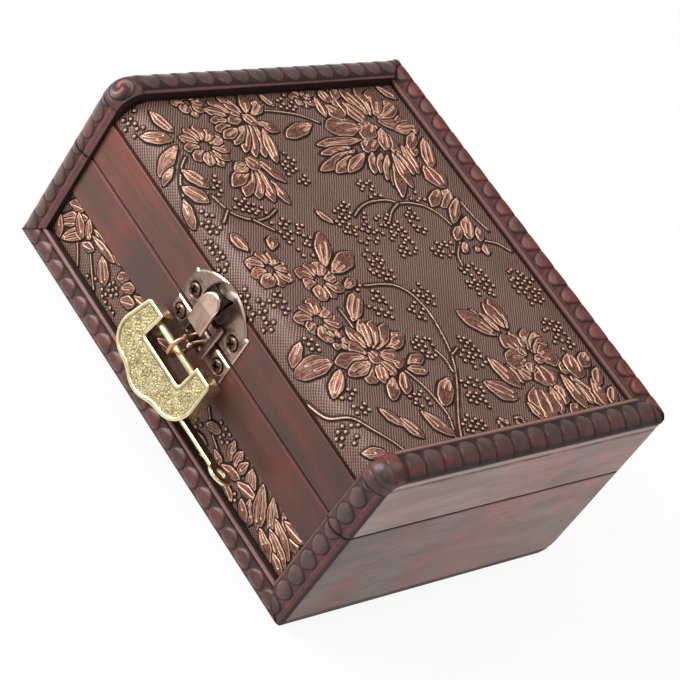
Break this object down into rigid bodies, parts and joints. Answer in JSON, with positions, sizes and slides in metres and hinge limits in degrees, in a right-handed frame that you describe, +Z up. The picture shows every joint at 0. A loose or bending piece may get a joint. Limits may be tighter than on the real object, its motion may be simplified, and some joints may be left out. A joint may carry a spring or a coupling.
{
  "type": "wooden jewelry box",
  "caption": "Small hinged wooden box with an embossed leather cover, carved mouldings, a front hasp and a hanging padlock with its key.",
  "frame": {"origin": "centre of the flat underside of the box, midway between its sides and between the front crest and the back board", "axes": "+Z up, -Y towards the front with the hasp, +X to the right as seen from the front"},
  "size_m": [0.14, 0.1241, 0.0625],
  "materials": {
    "dark_wood": "stained and waxed, streaked",
    "rail_wood": "red-brown lacquer with worn edges",
    "carved_wood": "carved, dark glossy lacquer",
    "embossed_leather": "embossed and antiqued",
    "velvet": "short pile",
    "bronze": "antiqued, worn bright on the edges",
    "copper": "satin, worn",
    "lock_brass": "aged satin",
    "steel": "dull"
  },
  "bodies": {
    "base": {"floor_panel": "dark_wood", "base_front_board": "dark_wood", "base_back_board": "dark_wood", "base_left_side": "dark_wood", "base_right_side": "dark_wood", "base_front_rail": "rail_wood", "front_leather_panel": "embossed_leather", "front_bottom_moulding": "carved_wood", "base_left_moulding": "carved_wood", "base_right_moulding": "carved_wood", "floor_lining": "velvet", "base_wall_lining": "velvet", "base_hinge_leaves": "bronze", "hinge_pins": "steel", "base_hinge_screws": "bronze", "lower_hasp_plate": "bronze", "staple_pin": "steel", "lower_hasp_screws": "bronze"},
    "lid": {"lid_top_panel": "dark_wood", "lid_front_board": "dark_wood", "lid_back_board": "dark_wood", "lid_left_side": "dark_wood", "lid_right_side": "dark_wood", "lid_front_rail": "rail_wood", "top_leather_cover": "embossed_leather", "lid_left_moulding": "carved_wood", "lid_right_moulding": "carved_wood", "left_corner_moulding": "carved_wood", "right_corner_moulding": "carved_wood", "left_top_moulding": "carved_wood", "right_top_moulding": "carved_wood", "back_top_moulding": "carved_wood", "lid_lining": "velvet", "lid_hinge_leaves": "bronze", "lid_hinge_screws": "bronze", "upper_hasp_plate": "bronze", "tongue_pin": "steel", "upper_hasp_screws": "bronze"},
    "tongue": {"hasp_tongue": "copper"},
    "ring": {"lock_ring": "copper"},
    "padlock": {"padlock_body": "lock_brass"},
    "shackle": {"padlock_shackle": "lock_brass", "shackle_springs": "steel"},
    "key": {"padlock_key": "lock_brass"}
  },
  "joints": [
    {"name": "lid_hinge", "type": "hinge", "parent": "base", "child": "lid", "pos_m": [0, 0.0567, 0.03715], "axis": [-1, 0, 0], "range_deg": [0, 100]},
    {"name": "tongue_lift", "type": "hinge", "parent": "lid", "child": "tongue", "pos_m": [0, -0.0561, 0.0492], "axis": [-1, 0, 0], "range_deg": [0, 90]},
    {"name": "ring_swing", "type": "hinge", "parent": "base", "child": "ring", "pos_m": [0, -0.05691, 0.03289], "axis": [-1, 0, 0], "range_deg": [-3, 18]},
    {"name": "padlock_swing", "type": "hinge", "parent": "ring", "child": "padlock", "pos_m": [0, -0.05872, 0.0297], "axis": [-1, 0, 0], "range_deg": [-20, 60]},
    {"name": "shackle_slide", "type": "slide", "parent": "padlock", "child": "shackle", "axis": [-1, 0, 0], "range_m": [0, 0.02]},
    {"name": "key_slide", "type": "slide", "parent": "padlock", "child": "key", "axis": [1, 0, 0], "range_m": [0, 0.012]}
  ]
}
